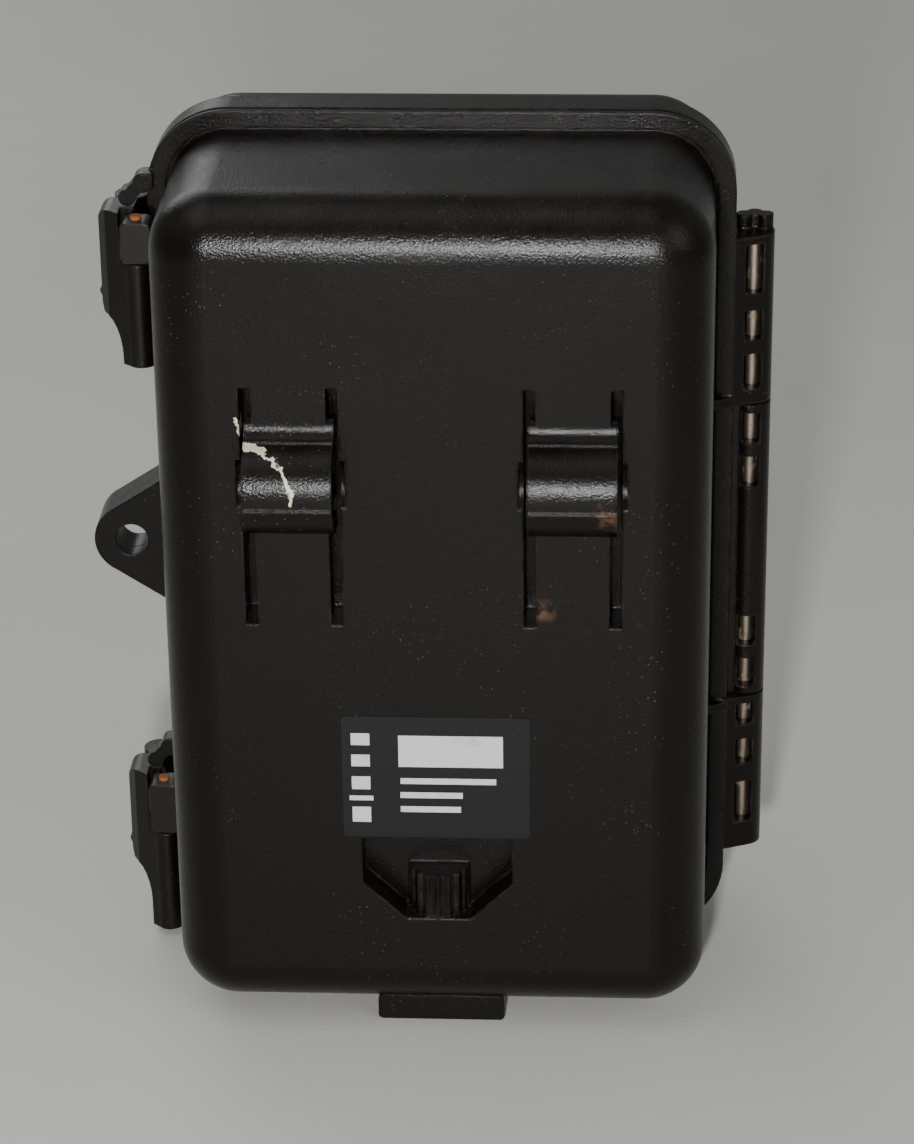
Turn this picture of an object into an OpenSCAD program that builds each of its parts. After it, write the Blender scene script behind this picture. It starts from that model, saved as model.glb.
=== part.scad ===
// Trail camera in a hinged two-part case that stands on its foot.
// The origin is the mouth of the tripod socket. +Z is up and the back, with
// the strap loops, faces +Y. The case hinge is at -X and the latches at +X.

/* [Case] */
// Width over the flanges
case_w = 88; // [84:1:110]
// Height from the foot to the top of the flanges
case_h = 139; // [138:1:170]
// Corner radius of the flanges
flange_r = 12.5; // [11:0.5:16]
// Width of the flange outside the shells
lip = 3.3; // [3:0.1:4.5]
// Thickness of the rear flange
rear_flange_t = 1.6; // [1.4:0.1:3]
// Thickness of the front flange
front_flange_t = 5; // [3:0.1:6]
// Depth of the rear shell behind its flange
rear_depth = 32.8; // [30:0.5:45]
// Depth of the front shell before the joint
front_depth = 22; // [22:0.5:32]
// Edge radius of the rear shell's back
back_edge_r = 8.4; // [3:0.2:8.6]
// Edge radius of the front shell's face
front_edge_r = 6; // [3:0.2:8]
// Wall thickness of both shells
wall = 2.4; // [2:0.1:3]
// Width of the shadow groove inside the rear flange
groove_w = 0.6; // [0.4:0.1:1]
// Depth of the shadow groove
groove_d = 1; // [0.3:0.1:1]
// Width of the step round the rear flange at the joint
step_w = 0.9; // [0.4:0.1:1]
// Depth of the step
step_d = 0.6; // [0.2:0.1:1]

/* [Foot and tripod socket] */
// Width of the foot
foot_w = 19.7; // [16:0.1:30]
// Distance from the case's back to the foot's back
foot_inset = 4.3; // [3:0.1:8]
// Distance from the flange's back to the socket's axis
socket_y = 14; // [10:0.5:16]
// Radius of the tripod thread's core
socket_r = 2.6; // [2.4:0.05:3.2]
// Depth of the tripod thread
socket_depth = 8.5; // [6:0.5:10]
// Outer radius of the tripod insert
insert_r = 4.6; // [4:0.1:6]

/* [Case hinge] */
// Distance of the hinge axis outside the flanges
hinge_out = 2.9; // [2.8:0.1:4]
// Distance of the hinge axis before the joint
hinge_drop = 2.9; // [2.6:0.1:4]
// Outer radius of the knuckles
barrel_r = 3; // [2.6:0.1:3.2]
// Radius of the hinge pin
hinge_pin_r = 1.15; // [0.8:0.05:1.4]
// Space on each side of the hinge pin's bore in the openings over it
window_side = 0.1; // [0.05:0.05:0.5]
// Radial play of each pin in its bores
pin_play = 0.05; // [0.02:0.01:0.09]
// Height of the hinge's lower end
hinge_low = 15.1; // [14:0.1:18]
// Distance from the hinge's upper end to the flange's top
hinge_top_inset = 19.8; // [16:0.1:24]
// Length of each end knuckle
end_knuckle = 27; // [26.8:0.1:32]
// Gap between neighbouring knuckles
knuckle_gap = 0.4; // [0.2:0.05:0.8]

/* [Latches] */
// Height of the upper latch
upper_latch_h = 24.2; // [24:0.1:30]
// Height of the lower latch
lower_latch_h = 27.6; // [24:0.1:32]
// Height of the upper latch's link
upper_link_h = 6.4; // [5:0.1:9]
// Height of the lower latch's link
lower_link_h = 8.6; // [5:0.1:9]
// Height of the lower latch's lower end
latch_low = 1.2; // [1:0.1:4]
// Distance from the upper latch's upper end to the flange's top
latch_top_inset = 15.2; // [14:0.1:30]
// Radius of the latch pivot pins
latch_pin_r = 1; // [0.8:0.05:1.2]
// Radius of the rounded hook bead
bead_r = 2.15; // [1.8:0.05:2.3]
// Radius of the pin through the hook link
link_pin_r = 0.8; // [0.6:0.05:1]
// Gap round the closed latch
latch_gap = 0.3; // [0.3:0.05:0.6]

/* [Padlock lugs] */
// Radius of the padlock hole
lock_r = 2.6; // [2:0.1:3.2]
// Distance from the flange's edge to the padlock hole's centre
lock_out = 4.9; // [4:0.1:8]
// Radius of the lug's tip
lug_r = 5.8; // [5:0.1:8]
// Half height of the lug's root
lug_root = 10.7; // [9:0.1:14]
// Thickness of the rear lug
rear_lug_t = 3; // [2:0.1:5]

/* [Strap loops] */
// Height of the strap slots
slot_h = 37.7; // [30:0.1:42]
// Width of the strap slots
slot_w = 1.8; // [1.5:0.1:3]
// Distance between the two slots of a loop, over their outer edges
loop_w = 14.4; // [13:0.1:18]
// Distance from the middle of the case to the middle of each loop
loop_x = 20.5; // [19:0.1:26]
// Distance from the slots' upper ends to the flange's top
slot_top_inset = 30.8; // [28:0.1:40]
// Thickness of the plate over the strap
bridge_t = 2.2; // [1.8:0.1:3]
// Depth of the strap's pocket behind the plate
strap_room = 4.5; // [3:0.1:6]
// Outer radius of the cable arch
arch_r = 7.2; // [6.5:0.1:8.5]
// Wall thickness of the cable arch
arch_t = 1.7; // [1.2:0.1:2]
// Width of the cable arch
arch_w = 13; // [11.5:0.1:14]
// Height of the arch's centre above the slots' lower ends
arch_up = 22.7; // [18:0.1:26]
// Radius of the fillet over the arch
arch_fillet = 2.2; // [1:0.1:3]

/* [Grip pad and label] */
// Width of the grip recess
pad_w = 22.8; // [18:0.1:28]
// Width of the recess at its lower end
pad_foot_w = 9.8; // [9.7:0.1:12]
// Height of the grip recess
pad_h = 13.9; // [12:0.1:18]
// Height of the straight part of the recess
pad_straight = 7.7; // [5:0.1:9]
// Height of the recess's lower end
pad_low = 20.7; // [18:0.1:24]
// Depth of the grip recess
pad_d = 4.9; // [3:0.1:5]
// Radius of the fluted boss
boss_r = 4.4; // [3.5:0.1:4.6]
// Height of the fluted boss
boss_h = 7.2; // [5:0.1:10]
// Number of flutes
flutes = 9; // [5:2:13]
// Width of the label
label_w = 28.2; // [20:0.1:36]
// Height of the label
label_h = 20.4; // [14:0.1:26]
// Thickness of the label
label_t = 0.15; // [0.1:0.05:0.3]

/* [Batteries] */
// Radius of a cell
cell_r = 7.1; // [7:0.05:7.25]
// Length of a cell without its button
cell_l = 49.2; // [48.8:0.1:49.5]
// Radius of a cell's button
button_r = 2.75; // [2:0.05:2.75]
// Height of a cell's button
button_h = 1.2; // [1:0.1:1.4]
// Clearance round a cell in its bay
cell_gap = 0.3; // [0.2:0.05:0.5]
// Length of a compressed contact spring
spring_l = 4.6; // [3:0.1:6]
// Thickness of the contact plates
contact_t = 0.4; // [0.3:0.05:0.6]
// Thickness of the ribs between the columns
rib_t = 1; // [0.8:0.1:2]
// Thickness of the tray's ends, sides and back
tray_t = 2; // [1.6:0.1:3]

/* [Front face] */
// Width of the night-light window
glow_w = 57; // [50:0.5:64]
// Height of the night-light window
glow_h = 31; // [29:0.5:36]
// Distance from the window's upper edge to the flange's top
glow_inset = 13; // [11:0.5:16]
// Thickness of the night-light window
glow_t = 1.6; // [1:0.1:2]
// Width of the raised frames round the window and the motion lens
frame_lip = 2.8; // [2:0.1:2.9]
// Radius of an infrared lamp
lamp_r = 2.5; // [1.5:0.1:2.5]
// Radius of the lens window
eye_r = 9.4; // [8:0.1:11]
// Outer radius of the lens bezel
bezel_r = 15; // [13:0.1:18]
// Height of the bezel
bezel_h = 2.4; // [1.5:0.1:3]
// Height of the lens above the middle of the case
eye_up = 9; // [6:0.5:10]
// Outer radius of the motion lens
motion_r = 14.5; // [12:0.1:16]
// Height of the motion lens
motion_h = 24; // [20:0.5:28]
// Distance from the middle of the case down to the motion lens's centre
motion_down = 27; // [25:0.5:32]
// Distance that the motion lens stands proud
motion_proud = 4.2; // [3:0.1:6]
// Radius of the status light
status_r = 1.5; // [1:0.1:2.5]

/* [Control panel] */
// Thickness of the panel
panel_t = 2; // [1.5:0.1:2.5]
// Distance of the panel's face before the joint
panel_sink = 1; // [0.9:0.1:2]
// Clearance round the panel and round each key
panel_gap = 0.3; // [0.2:0.05:0.5]
// Radius of a key
key_r = 3.6; // [2.5:0.1:4]
// Distance from the middle key to each arrow key
key_pitch = 10.5; // [9.5:0.1:12]
// Distance that a key stands out of the panel
key_proud = 0.85; // [0.5:0.05:0.9]
// Travel of a key
key_travel = 0.5; // [0.3:0.05:0.8]
// Width of the display
screen_w = 40; // [34:0.5:46]
// Height of the display
screen_h = 27; // [22:0.5:30]
// Distance between two places of the power switch
switch_step = 3; // [2:0.1:3]
// Travel of the memory card when it is released
card_travel = 4; // [2:0.5:5]

/* [Hidden] */
$fn = 48;
eps = 0.01;

mid_z = case_h / 2;
half_w = case_w / 2;
shell_hw = half_w - lip;
shell_z0 = lip;
shell_z1 = case_h - lip;
shell_r = flange_r - lip;
back_r = min(back_edge_r, shell_r - 0.3);
front_r = min(front_edge_r, shell_r - 0.3);

ring_y = -socket_y;
joint_y = ring_y - rear_flange_t;
back_y = ring_y + rear_depth;
front_y = joint_y - front_depth;
front_in_y = front_y + wall;

axis_x = -half_w - hinge_out;
axis_y = joint_y - hinge_drop;
hinge_high = case_h - hinge_top_inset;
split_low = hinge_low + end_knuckle;
split_high = hinge_high - end_knuckle;
// Openings along each knuckle: distance from its end, then height
low_windows = [[4.5, 7.3], [15, 4.5], [22, 3.8]];
top_windows = [[1.2, 7.9], [11.8, 4.8], [18.8, 5.8]];
mid_windows = [[1.3, 4.9], [8.5, 5.1]];
flange_relief = 0.6;
window_w = 2 * (hinge_pin_r + pin_play + window_side);

latch_h = [lower_latch_h, upper_latch_h];
link_h = [lower_link_h, upper_link_h];
latch_z = [latch_low, case_h - latch_top_inset - upper_latch_h];
link_top = 1;
latch_x = half_w + 3.4;
latch_y = ring_y - 7.5;
bead_x = half_w + 1.6;
bead_y = ring_y + bead_r + 0.35;
grip_x = half_w + 7.7;
ear_r = 2.6;
ear_t = 3.4;
link_x0 = half_w - 0.8;
link_x1 = half_w + 3.9;

lock_x = half_w + lock_out;

slot_z1 = case_h - slot_top_inset;
slot_z0 = slot_z1 - slot_h;
arch_z = slot_z0 + arch_up;
pocket_y = back_y - bridge_t - strap_room;
pocket_wall = 2;

pad_top = pad_low + pad_h;
flute_r = 0.4;
label_z = pad_top + 0.4;

bay_l = cell_l + button_h + spring_l + 2 * contact_t;
bay_r = cell_r + cell_gap;
column_pitch = 2 * bay_r + rib_t;
column_x = [for (i = [-1.5, -0.5, 0.5, 1.5]) i * column_pitch];
tray_hw = 1.5 * column_pitch + bay_r + tray_t;
tray_z0 = max(shell_z0 + wall + 1, 3 + socket_depth + 2.4);
tray_z1 = tray_z0 + 2 * bay_l + 3 * tray_t;
tray_y0 = joint_y + 1;
cell_y = tray_y0 + 0.5 + cell_r;
tray_y1 = cell_y + bay_r + tray_t;
bay_z = [tray_z0 + tray_t, tray_z0 + 2 * tray_t + bay_l];
tray_ear_x = tray_hw + 2.2;
tray_ear_z = [tray_z0 + 10, tray_z1 - 10];
tray_ear_r = min(3, shell_hw - wall - tray_ear_x);
screw_r = 1.1;
head_r = 2.2;
head_h = 1.4;

panel_y1 = joint_y - panel_sink;
panel_y0 = panel_y1 - panel_t;
board_y1 = panel_y0 - 2.6;
board_t = 1.6;
board_y0 = board_y1 - board_t;
inner_hw = shell_hw - wall;
inner_z0 = shell_z0 + wall;
inner_z1 = shell_z1 - wall;
inner_r = shell_r - wall;
panel_hw = inner_hw - panel_gap;
post_x = inner_hw - 5.5;
post_z = [inner_z0 + 6, inner_z1 - 6];
post_r = 3;

glow_z1 = case_h - glow_inset;
glow_z0 = glow_z1 - glow_h;
glow_mid = (glow_z0 + glow_z1) / 2;
lamp_board_y1 = board_y0 - 3.2;
lamp_board_y0 = lamp_board_y1 - board_t;
lamp_l = 6.2;
lamp_cols = 6;
lamp_rows = 4;
lamp_px = 8.4;
lamp_pz = 6.8;

eye_z = mid_z + eye_up;
sensor_y1 = board_y0 - 1.2;
sensor_y0 = sensor_y1 - 1.2;
tube_r = 7;
tube_y0 = front_in_y + 0.5;

motion_z = mid_z - motion_down;
motion_axis_y = front_y - motion_proud + motion_r;
motion_t = 0.8;
status_x = 22;
status_z = mid_z - 5;

screen_z = post_z[1] - 8 - screen_h / 2;
key_z = screen_z - screen_h / 2 - 20;
key_names = ["key_ok", "key_up", "key_down", "key_left", "key_right", "key_menu"];
key_at = [[0, 0], [0, 1], [0, -1], [1, 0], [-1, 0], [2.1, 1]];
switch_x = -25;
switch_z = key_z - 3;
card_w = 24;
card_l = 32;
card_t = 2.1;
card_x = 20;
card_z = post_z[0] + 10;
card_y0 = board_y1 + 0.5;
port_x = -12;
jack_x = -24;
port_z = card_z + 8;

// Shapes in the case's own directions

module box(x, y, z) {
  translate([x[0], y[0], z[0]])
    cube([x[1] - x[0], y[1] - y[0], z[1] - z[0]]);
}

module rod_x(y, z, x0, x1, r) {
  translate([x0, y, z]) rotate([0, 90, 0]) cylinder(r = r, h = x1 - x0);
}

module rod_y(x, z, y0, y1, r) {
  translate([x, y1, z]) rotate([90, 0, 0]) cylinder(r = r, h = y1 - y0);
}

module rod_z(x, y, z0, z1, r) {
  translate([x, y, z0]) cylinder(r = r, h = z1 - z0);
}

module prism_y(y0, y1) {
  translate([0, y1, 0]) rotate([90, 0, 0]) linear_extrude(y1 - y0) children();
}

module rounded_rect(hw, z0, z1, r) {
  translate([-hw + r, z0]) square([2 * (hw - r), z1 - z0]);
  translate([-hw, z0 + r]) square([2 * hw, z1 - z0 - 2 * r]);
  for (x = [-hw + r, hw - r], z = [z0 + r, z1 - r]) translate([x, z]) circle(r);
}

module slab(hw, z0, z1, r, y0, y1) {
  prism_y(y0, y1) rounded_rect(hw, z0, z1, r);
}

module slab_at(x, z, w, h, r, y0, y1) {
  translate([x, 0, z - h / 2]) slab(w / 2, 0, h, r, y0, y1);
}

// Closed box with rounded corners whose far face, at y1, has rounded edges
module pillow(y0, y1, edge) {
  y_edge = y1 - edge;
  x_run = shell_hw - shell_r;
  slab(shell_hw, shell_z0, shell_z1, shell_r, y0, y_edge);
  slab(shell_hw - edge, shell_z0 + edge, shell_z1 - edge, shell_r - edge,
    y_edge - eps, y1);
  for (z = [shell_z0 + edge, shell_z1 - edge]) rod_x(y_edge, z, -x_run, x_run, edge);
  for (x = [-shell_hw + edge, shell_hw - edge])
    rod_z(x, y_edge, shell_z0 + shell_r, shell_z1 - shell_r, edge);
  for (x = [-x_run, x_run], z = [shell_z0 + shell_r, shell_z1 - shell_r])
    translate([x, y_edge, z]) rotate([90, 0, 0]) rotate_extrude() intersection() {
      translate([shell_r - edge, 0]) circle(edge);
      translate([0, -edge]) square([shell_r, 2 * edge]);
    }
}

module screw(x, z, y_head, l, out) {
  rod_y(x, z, min(y_head, y_head + out * head_h), max(y_head, y_head + out * head_h),
    head_r);
  rod_y(x, z, min(y_head, y_head - out * l), max(y_head, y_head - out * l), screw_r);
}

// Case hinge

module knuckle_bore(z0, z1) {
  rod_z(axis_x, axis_y, z0, z1, hinge_pin_r + pin_play);
}

module window_cut(z0, h) {
  box([axis_x - window_w / 2, axis_x + window_w / 2],
    [axis_y, ring_y + 1], [z0, z0 + h]);
}

// Sloping back of a rear knuckle, from the flange to the tangent on its barrel
module rear_knuckle(z0, z1) {
  reach = [half_w - axis_x - case_w + 0.2, ring_y - axis_y];
  far = norm(reach);
  turn = atan2(reach[1], reach[0]) + acos(barrel_r / far);
  touch = [axis_x + barrel_r * cos(turn), axis_y + barrel_r * sin(turn)];
  root_x = axis_x + barrel_r;
  rod_z(axis_x, axis_y, z0, z1, barrel_r);
  translate([0, 0, z0]) linear_extrude(z1 - z0)
    polygon([[-half_w + 1, ring_y], [axis_x + reach[0], ring_y], touch,
      [axis_x, axis_y], [root_x, axis_y], [root_x, joint_y], [-half_w + 1, joint_y]]);
}

module hinge_gusset(z) {
  translate([0, 0, z]) linear_extrude(1.5)
    polygon([[-shell_hw + 1, ring_y - 0.5], [-shell_hw + 1, ring_y + 2],
      [-shell_hw, ring_y + 2], [-half_w - 0.2, ring_y + 0.3], [-half_w - 0.2, ring_y - 0.5]]);
}

module hinge_crown() {
  lobe_r = 1.2;
  for (a = [-38, -90, -142])
    rod_z(axis_x + 2 * cos(a), axis_y + 2 * sin(a), hinge_high - 4, hinge_high + 2.2, lobe_r);
}

// Lugs and latches

module lug_outline() {
  away = [half_w - 1 - lock_x, lug_root];
  turn = atan2(away[1], away[0]) - acos(lug_r / norm(away));
  inside_r = lug_r - 0.03;
  touch = [lock_x + inside_r * cos(turn), inside_r * sin(turn)];
  translate([lock_x, mid_z]) circle(lug_r);
  translate([0, mid_z])
    polygon([[half_w - 1, lug_root], touch, [lock_x, 0], [touch[0], -touch[1]],
      [half_w - 1, -lug_root]]);
}

module padlock_lug(y0, y1) {
  prism_y(y0, y1) lug_outline();
}

module padlock_hole() {
  rod_y(lock_x, mid_z, joint_y - front_flange_t - 1, joint_y + rear_lug_t + 1, lock_r);
}

module latch_guard(top) {
  prism_y(joint_y, joint_y + 3) {
    polygon([[half_w - 1, top + 5.8], [half_w + 0.6, top + 5.7], [half_w + 3.9, top + 2.3],
      [half_w + 2.6, top + 0.9], [half_w + 0.6, top + 2.8], [half_w - 1, top + 3.2]]);
    translate([half_w + 0.5, top + 4.2]) circle(1.5);
    translate([half_w + 2.9, top + 1.9]) circle(1.3);
  }
}

module latch_ear(z) {
  box([shell_hw - 1, latch_x], [latch_y - ear_r, joint_y - front_flange_t + eps],
    [z, z + ear_t]);
  rod_z(latch_x, latch_y, z, z + ear_t, ear_r);
}

module latch_ears(i) {
  z = latch_z[i];
  difference() {
    union() {
      latch_ear(z + 0.4);
      latch_ear(z + latch_h[i] - 0.4 - ear_t);
    }
    rod_z(latch_x, latch_y, z + 1.4, z + latch_h[i], latch_pin_r + pin_play);
  }
}

// Outline of a lever from behind: thumb curve, ridge and rounded top
module lever_outline(h) {
  low = h - 23.2;
  curve = [for (i = [0:6])
    [half_w + 4.4 + 3 * (1 - cos(15 * i)), low + 6.4 * sin(15 * i)]];
  polygon(concat([[half_w - 1, 0], [half_w + 4.4, 0]], curve,
    [[grip_x, low + 7.8], [grip_x, h - 2], [half_w - 1, h - 2]]));
  translate([half_w - 1, h - 3]) square([grip_x - 2 - half_w + 1, 3]);
  translate([grip_x - 2, h - 2]) circle(2);
  translate([grip_x - 0.2, low + 9.4]) circle(0.6);
}

module lever_plan() {
  translate([latch_x, latch_y]) circle(ear_r - 0.1);
  translate([bead_x, bead_y]) circle(bead_r);
  polygon([[half_w + 2.1, bead_y], [half_w + 2.1, latch_y + 1.2], [latch_x, latch_y],
    [latch_x + 2.4, latch_y - 0.6], [grip_x + 0.6, latch_y + 2],
    [grip_x + 0.6, ring_y - 1.5], [grip_x - 1.2, ring_y + 1.2],
    [bead_x + 1, bead_y + 1.9], [bead_x, bead_y]]);
}

module lever(i) {
  z = latch_z[i];
  h = latch_h[i];
  difference() {
    intersection() {
      prism_y(latch_y - 6, bead_y + 6) translate([0, z]) lever_outline(h);
      translate([0, 0, z]) linear_extrude(h) lever_plan();
    }
    for (e = [z - 1, z + h - 0.8 - ear_t])
      box([half_w - 2, grip_x + 2], [latch_y - 6, latch_y + ear_r + 0.5],
        [e, e + ear_t + 1.8]);
    rod_z(latch_x, latch_y, z - 1, z + h + 1, latch_pin_r + pin_play);
    box([half_w - 2, link_x1 + latch_gap], [ring_y, bead_y + 6],
      [z + h - link_top - link_h[i] - latch_gap, z + h + 1]);
    rod_z(bead_x, bead_y, z + 8, z + h + 1, link_pin_r);
  }
}

module link(i) {
  top = latch_z[i] + latch_h[i] - link_top;
  difference() {
    translate([(link_x0 + link_x1) / 2, 0, top - link_h[i]])
      slab((link_x1 - link_x0) / 2, 0, link_h[i], 1, ring_y + latch_gap, bead_y + bead_r);
    rod_z(bead_x, bead_y, top - link_h[i] - 1, top + 1, link_pin_r);
  }
}

// Strap loops and grip pad

module strap_slots(x) {
  for (s = [-1, 1])
    translate([x + s * (loop_w - slot_w) / 2, 0, 0])
      box([-slot_w / 2, slot_w / 2], [back_y - bridge_t - 1, back_y + 1], [slot_z0, slot_z1]);
}

module strap_pocket(x) {
  box([x - loop_w / 2, x + loop_w / 2], [pocket_y, back_y - bridge_t], [slot_z0, slot_z1]);
}

module strap_housing(x) {
  box([x - loop_w / 2 - pocket_wall, x + loop_w / 2 + pocket_wall],
    [pocket_y - pocket_wall, back_y - 1], [slot_z0 - pocket_wall, slot_z1 + pocket_wall]);
}

module cable_arch(x) {
  rise = arch_r + arch_fillet;
  translate([x - arch_w / 2, back_y, arch_z]) rotate([90, 0, 90])
    linear_extrude(arch_w) {
      intersection() {
        circle(arch_r);
        translate([-bridge_t, -arch_r - 1]) square([arch_r + bridge_t + 1, 2 * arch_r + 2]);
      }
      difference() {
        translate([-bridge_t, 0]) square([bridge_t + arch_fillet * 0.75, rise]);
        translate([arch_fillet, rise]) circle(arch_fillet);
        translate([arch_fillet * 0.75 - eps, rise - arch_fillet]) square(arch_fillet);
      }
      rotate(-11) translate([arch_r - 0.15, -0.3]) square([0.4, 0.6]);
    }
}

module cable_tunnel(x) {
  rod_x(back_y, arch_z, x - loop_w / 2, x + loop_w / 2, arch_r - arch_t);
  intersection() {
    rod_x(back_y + 2.6, arch_z, x - loop_w / 2 - 0.7, x + loop_w / 2 + 0.7, 4.6);
    box([x - loop_w, x + loop_w], [back_y - 3, back_y + 0.5], [arch_z - 6, arch_z + 6]);
  }
}

module pad_outline() {
  polygon([[-pad_w / 2, pad_top], [pad_w / 2, pad_top], [pad_w / 2, pad_top - pad_straight],
    [pad_foot_w / 2, pad_low], [-pad_foot_w / 2, pad_low],
    [-pad_w / 2, pad_top - pad_straight]]);
}

module pad_boss() {
  axis = back_y - boss_r - flute_r;
  intersection() {
    union() {
      rod_z(0, axis, pad_low - eps, pad_low + boss_h, boss_r);
      for (i = [0:flutes - 1]) {
        a = 8 + i * 164 / (flutes - 1);
        rod_z(boss_r * cos(a), axis + boss_r * sin(a), pad_low - eps, pad_low + boss_h,
          flute_r);
      }
    }
    box([-pad_foot_w / 2, pad_foot_w / 2], [back_y - pad_d - eps, back_y],
      [pad_low - 1, pad_low + boss_h + 1]);
  }
}

// Rear half

module rear_blank() {
  pillow(joint_y, back_y, back_r);
  slab(half_w, 0, case_h, flange_r, joint_y, ring_y);
  padlock_lug(joint_y, joint_y + rear_lug_t);
  rear_knuckle(hinge_low, split_low);
  rear_knuckle(split_high, hinge_high);
  hinge_crown();
  hinge_gusset(split_low - 1.7);
  hinge_gusset(split_high + 0.2);
  for (i = [0, 1]) latch_guard(latch_z[i] + latch_h[i]);
  slab_at(0, shell_z0 / 2 + 0.5, foot_w, shell_z0 + 1, 0.8, joint_y,
    back_y - foot_inset);
}

module rear_cavity() {
  slab(inner_hw, inner_z0, inner_z1, inner_r, joint_y - 1, back_y - back_r);
  slab(inner_hw - 3, inner_z0 + 3, inner_z1 - 3, inner_r - 3, back_y - back_r - eps,
    back_y - wall);
}

module rear_inner() {
  for (x = [-loop_x, loop_x]) strap_housing(x);
  box([-pad_w / 2 - 2, pad_w / 2 + 2], [back_y - pad_d - 2, back_y - 1],
    [pad_low - 2, pad_top + 2]);
  rod_z(0, 0, 1, 3 + socket_depth + 1.6, insert_r + 2.2);
  for (x = [-tray_ear_x, tray_ear_x], z = tray_ear_z)
    rod_y(x, z, tray_y1, back_y - 2 * wall, 2.2);
}

// Step round the rear flange, which shows the joint as a dark line
module joint_step() {
  difference() {
    slab(half_w + 1, -1, case_h + 1, flange_r + 1, joint_y - 1, joint_y + step_w);
    slab(half_w - step_d, step_d, case_h - step_d, flange_r - step_d, joint_y - 2, joint_y + 2);
    box([-half_w - 9, -half_w + 2], [joint_y - 2, joint_y + 2], [hinge_low - 1, hinge_high + 3]);
    box([half_w - 2, half_w + 20], [joint_y - 2, joint_y + 2],
      [mid_z - lug_root, mid_z + lug_root]);
    for (i = [0, 1])
      box([half_w - 2, half_w + 9], [joint_y - 2, joint_y + 2],
        [latch_z[i] + latch_h[i], latch_z[i] + latch_h[i] + 7]);
    box([-foot_w / 2, foot_w / 2], [joint_y - 2, joint_y + 2], [-2, 2]);
  }
}

module rear_shell() {
  difference() {
    union() {
      difference() {
        union() {
          difference() {
            rear_blank();
            rear_cavity();
          }
          intersection() {
            rear_inner();
            pillow(joint_y + 1, back_y, back_r);
          }
          slab_at(0, shell_z0 / 2 + 0.5, foot_w, shell_z0 + 1, 0.8, ring_y + 1,
            back_y - foot_inset);
        }
        for (x = [-loop_x, loop_x]) {
          strap_slots(x);
          strap_pocket(x);
        }
        prism_y(back_y - pad_d, back_y + 1) pad_outline();
      }
      for (x = [-loop_x, loop_x]) cable_arch(x);
      pad_boss();
    }
    for (x = [-loop_x, loop_x]) cable_tunnel(x);
    difference() {
      slab(shell_hw + groove_w, shell_z0 - groove_w, shell_z1 + groove_w,
        shell_r + groove_w, ring_y - groove_d, ring_y + 1);
      slab(shell_hw, shell_z0, shell_z1, shell_r, ring_y - groove_d - 1, ring_y + 2);
      box([-half_w - 9, -shell_hw], [ring_y - 3, ring_y + 3], [split_low - 1.7, split_low - 0.2]);
      box([-half_w - 9, -shell_hw], [ring_y - 3, ring_y + 3],
        [split_high + 0.2, split_high + 1.7]);
      box([-foot_w / 2, foot_w / 2], [ring_y - 3, ring_y + 3], [-1, shell_z0]);
    }
    joint_step();
    padlock_hole();
    knuckle_bore(hinge_low + 1, hinge_high - 0.6);
    box([axis_x - 4, axis_x + barrel_r + 0.45], [axis_y - 4, axis_y + 5],
      [split_low, split_low + knuckle_gap]);
    for (w = low_windows) window_cut(hinge_low + w[0], w[1]);
    for (w = top_windows) window_cut(hinge_high - w[0] - w[1], w[1]);
    for (i = [0, 1])
      box([link_x0 - latch_gap, half_w + 1], [joint_y - 1, ring_y + 1],
        [latch_z[i] - 0.5, latch_z[i] + latch_h[i] + 0.3]);
    rod_z(0, 0, -1, 3 + socket_depth, insert_r);
    for (x = [-tray_ear_x, tray_ear_x], z = tray_ear_z)
      rod_y(x, z, tray_y1 - 1, tray_y1 + 8, screw_r);
  }
}

module tripod_insert() {
  difference() {
    rod_z(0, 0, 0, 3 + socket_depth, insert_r);
    rod_z(0, 0, -1, socket_depth, socket_r);
  }
}

module hinge_pin() {
  rod_z(axis_x, axis_y, hinge_low + 1, hinge_high - 0.8, hinge_pin_r);
}

module rating_label() {
  slab_at(0, label_z + label_h / 2, label_w, label_h, 0.6, back_y, back_y + label_t);
}

module battery_tray() {
  difference() {
    union() {
      box([-tray_hw, tray_hw], [tray_y0, tray_y1], [tray_z0, tray_z1]);
      for (x = [-tray_ear_x, tray_ear_x], z = tray_ear_z) {
        rod_y(x, z, tray_y1 - tray_t, tray_y1, tray_ear_r);
        box([min(0, x), max(0, x)], [tray_y1 - tray_t, tray_y1],
          [z - tray_ear_r, z + tray_ear_r]);
      }
    }
    for (x = column_x, z = bay_z) {
      rod_z(x, cell_y, z, z + bay_l, bay_r);
      box([x - bay_r, x + bay_r], [tray_y0 - 1, cell_y], [z, z + bay_l]);
    }
    for (x = [-tray_ear_x, tray_ear_x], z = tray_ear_z)
      rod_y(x, z, tray_y1 - tray_t - 1, tray_y1 + 1, screw_r + 0.1);
  }
}

module contact_plates() {
  for (x = column_x, z = bay_z, end = [0, bay_l - contact_t])
    box([x - 4.5, x + 4.5], [tray_y0 + 1, cell_y + 4], [z + end, z + end + contact_t]);
}

// Cells stand head up and head down in turn
function head_up(i) = (i % 2) == 0;
function cell_x(i) = column_x[i % 4];
function cell_bay(i) = bay_z[floor(i / 4)];

module cell(i) {
  z = cell_bay(i);
  low = head_up(i) ? z + contact_t + spring_l : z + contact_t + button_h;
  button = head_up(i) ? low + cell_l : low - button_h;
  rod_z(cell_x(i), cell_y, low, low + cell_l, cell_r);
  rod_z(cell_x(i), cell_y, button, button + button_h, button_r);
}

module contact_springs() {
  for (i = [0:7]) {
    z = cell_bay(i);
    foot = head_up(i) ? z + contact_t : z + bay_l - contact_t;
    translate([cell_x(i), cell_y, foot]) rotate([head_up(i) ? 0 : 180, 0, 0])
      difference() {
        cylinder(r1 = 4, r2 = 2.2, h = spring_l);
        translate([0, 0, -eps]) cylinder(r1 = 3.4, r2 = 1.6, h = spring_l + 2 * eps);
      }
  }
}

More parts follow.
